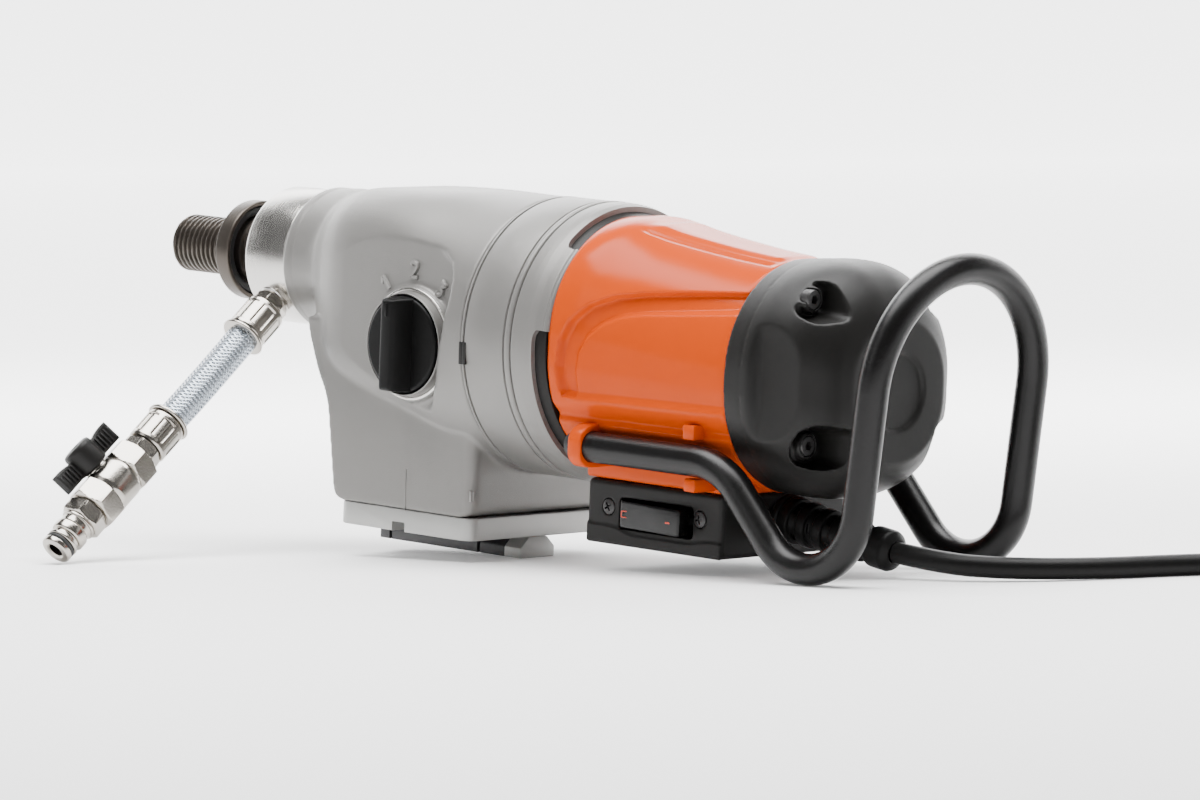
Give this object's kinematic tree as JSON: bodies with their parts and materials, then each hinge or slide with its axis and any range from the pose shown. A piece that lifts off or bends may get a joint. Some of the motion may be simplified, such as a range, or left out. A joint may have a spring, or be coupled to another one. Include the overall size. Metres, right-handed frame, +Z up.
{
  "type": "core drill motor",
  "caption": "Electric core drill motor with a gearbox, water swivel and hose, rail mount, rear hoop handle and mains cable, resting on a floor.",
  "frame": {"origin": "centre of the bottom of the box round the tool as it rests on a floor, without the free cable and the water hose; z = 0 is the floor", "axes": "+Z up from the floor, +X from the spindle tip to the rear handle, +Y to the side away from the gear knob; the tool leans back, so its spindle axis is 3.95 degrees nose-up from X"},
  "size_m": [0.8819, 0.3875, 0.1939],
  "materials": {
    "grey_housing": "satin silver-grey paint on cast aluminium",
    "plate_metal": "milled, with bright edges",
    "black_plastic": "fine moulded grain",
    "orange_plastic": "semi-gloss moulded",
    "steel": "turned and ground",
    "black_screws": "black oxide",
    "laminated_iron": "stacked sheets",
    "copper": "enamelled copper",
    "turned_aluminium": "bright turned",
    "seal_rubber": "matt",
    "carbon": "pressed carbon",
    "rocker_plastic": "moulded",
    "black_tube": "satin black powder coat on steel tube",
    "nickel": "nickel plated, slightly dulled",
    "braided_hose": "clear cover over a stainless braid",
    "cable_rubber": "matt rubber"
  },
  "bodies": {
    "main_body": {"base_plate": "plate_metal", "bearing_plate_front": "plate_metal", "bearing_plate_rear": "plate_metal", "brush_holders": "black_plastic", "cable_boot": "cable_rubber", "cable_coil": "cable_rubber", "cable_collar": "cable_rubber", "cable_tube": "cable_rubber", "carbon_brushes": "carbon", "coupler_nipple": "nickel", "coupler_ring": "seal_rubber", "electronics_module": "rocker_plastic", "end_cap": "black_plastic", "end_cap_screws": "black_screws", "field_stator": "laminated_iron", "field_windings": "copper", "gear_housing_front": "grey_housing", "gear_housing_middle": "grey_housing", "handle_end_plugs": "seal_rubber", "handle_tube": "black_tube", "inlet_fitting": "nickel", "layshaft_bearings": "steel", "lower_ferrule": "nickel", "mains_plug": "cable_rubber", "motor_bearings": "steel", "motor_housing": "orange_plastic", "mounting_rail": "plate_metal", "mounting_screws": "black_screws", "panel_screws": "black_screws", "shift_rail": "steel", "spindle_bearings": "steel", "spindle_seals": "seal_rubber", "switch_box": "black_plastic", "upper_ferrule": "nickel", "valve_body": "nickel", "valve_unions": "nickel", "vent_ring": "grey_housing", "water_hose": "braided_hose", "water_sleeve": "turned_aluminium"},
    "motor_armature": {"armature_shaft": "steel", "armature_core": "laminated_iron", "armature_windings": "copper", "commutator": "copper", "cooling_fan": "black_plastic"},
    "first_layshaft": {"layshaft_a": "steel", "layshaft_a_gear": "steel"},
    "second_layshaft": {"layshaft_b": "steel", "layshaft_b_gear": "steel"},
    "output_spindle": {"spindle": "steel", "spindle_flange": "steel", "speed_gear_2": "steel"},
    "low_gear": {"speed_gear_1": "steel"},
    "high_gear": {"speed_gear_3": "steel"},
    "selector_key": {"draw_key": "steel"},
    "selector_fork": {"shift_fork": "plate_metal"},
    "gear_selector": {"gear_knob": "black_plastic", "knob_shaft": "steel"},
    "mains_switch": {"switch_rocker": "rocker_plastic"},
    "water_valve": {"valve_handle": "black_plastic", "valve_ball": "steel"}
  },
  "joints": [
    {"name": "armature_spin", "type": "hinge", "parent": "main_body", "child": "motor_armature", "pos_m": [0.10136, 0.0032, 0.10283], "axis": [0.9976, 0, -0.0689], "continuous": true},
    {"name": "first_layshaft_spin", "type": "hinge", "parent": "main_body", "child": "first_layshaft", "pos_m": [-0.0221, 0.02944, 0.1295], "axis": [0.9976, 0, -0.0689], "continuous": true},
    {"name": "second_layshaft_spin", "type": "hinge", "parent": "main_body", "child": "second_layshaft", "pos_m": [-0.07424, 0.0032, 0.10023], "axis": [0.9976, 0, -0.0689], "continuous": true},
    {"name": "spindle_spin", "type": "hinge", "parent": "main_body", "child": "output_spindle", "pos_m": [-0.13578, 0.0032, 0.15259], "axis": [0.9976, 0, -0.0689], "continuous": true},
    {"name": "low_gear_spin", "type": "hinge", "parent": "main_body", "child": "low_gear", "pos_m": [-0.10884, 0.0032, 0.15073], "axis": [0.9976, 0, -0.0689], "continuous": true},
    {"name": "high_gear_spin", "type": "hinge", "parent": "main_body", "child": "high_gear", "pos_m": [-0.07692, 0.0032, 0.14853], "axis": [0.9976, 0, -0.0689], "continuous": true},
    {"name": "knob_turn", "type": "hinge", "parent": "main_body", "child": "gear_selector", "pos_m": [-0.05226, -0.0568, 0.11374], "axis": [0, 1, 0], "range_deg": [-35, 35]},
    {"name": "fork_slide", "type": "slide", "parent": "main_body", "child": "selector_fork", "axis": [0.9976, 0, -0.0689], "range_m": [-0.0162, 0.0162]},
    {"name": "key_slide", "type": "slide", "parent": "output_spindle", "child": "selector_key", "axis": [0.9976, 0, -0.0689], "range_m": [-0.0162, 0.0162]},
    {"name": "switch_rock", "type": "hinge", "parent": "main_body", "child": "mains_switch", "pos_m": [0.10825, -0.0393, 0.02848], "axis": [0.0689, 0, 0.9976], "range_deg": [0, 14.5]},
    {"name": "valve_turn", "type": "hinge", "parent": "main_body", "child": "water_valve", "pos_m": [-0.19519, -0.13722, 0.03985], "axis": [-0.4529, -0.5532, 0.6992], "range_deg": [0, 90]}
  ],
  "couplings": [
    {"joint": "first_layshaft_spin", "follows": "armature_spin", "ratio": -0.275},
    {"joint": "second_layshaft_spin", "follows": "armature_spin", "ratio": 0.075},
    {"joint": "spindle_spin", "follows": "armature_spin", "ratio": -0.045},
    {"joint": "low_gear_spin", "follows": "armature_spin", "ratio": -0.027128},
    {"joint": "high_gear_spin", "follows": "armature_spin", "ratio": -0.070455},
    {"joint": "fork_slide", "follows": "knob_turn", "m_per_rad": 0.026192},
    {"joint": "key_slide", "follows": "knob_turn", "m_per_rad": 0.026192}
  ]
}
